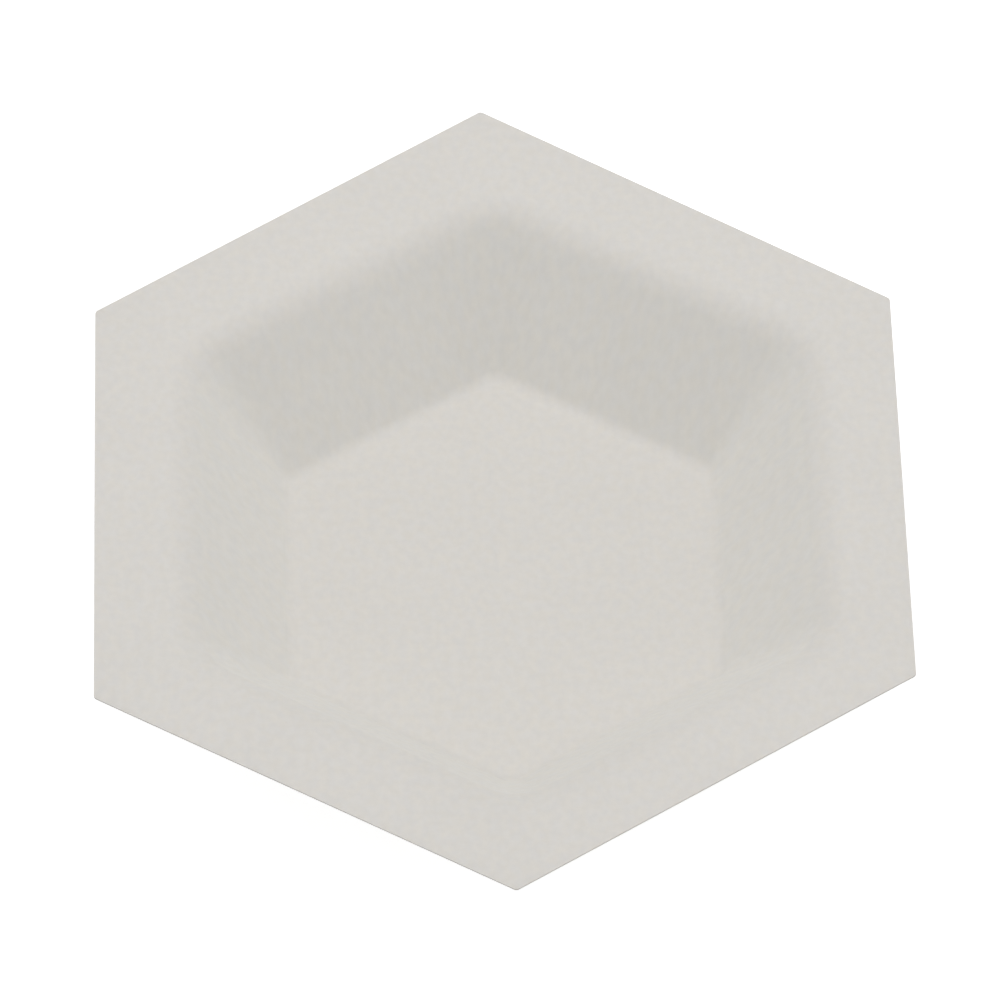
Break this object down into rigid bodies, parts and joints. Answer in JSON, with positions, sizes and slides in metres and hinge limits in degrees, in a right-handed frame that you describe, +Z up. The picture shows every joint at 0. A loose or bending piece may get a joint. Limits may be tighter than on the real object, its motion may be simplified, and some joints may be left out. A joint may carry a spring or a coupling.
{
  "type": "weighing boat",
  "caption": "Hexagonal disposable weighing boat: a shallow six-sided dish with sloped walls and a wide flat rim, formed from one thin off-white polystyrene sheet.",
  "frame": {"origin": "centre of the underside of the floor, on the surface the boat stands on", "axes": "+Z up out of the mouth, +Y towards one corner of the hexagonal rim, +X towards the middle of one of its sides"},
  "size_m": [0.102, 0.1176, 0.0183],
  "materials": {
    "polystyrene": "satin off-white polystyrene sheet, slightly translucent"
  },
  "bodies": {
    "root": {"weighing_boat": "polystyrene"}
  },
  "joints": []
}
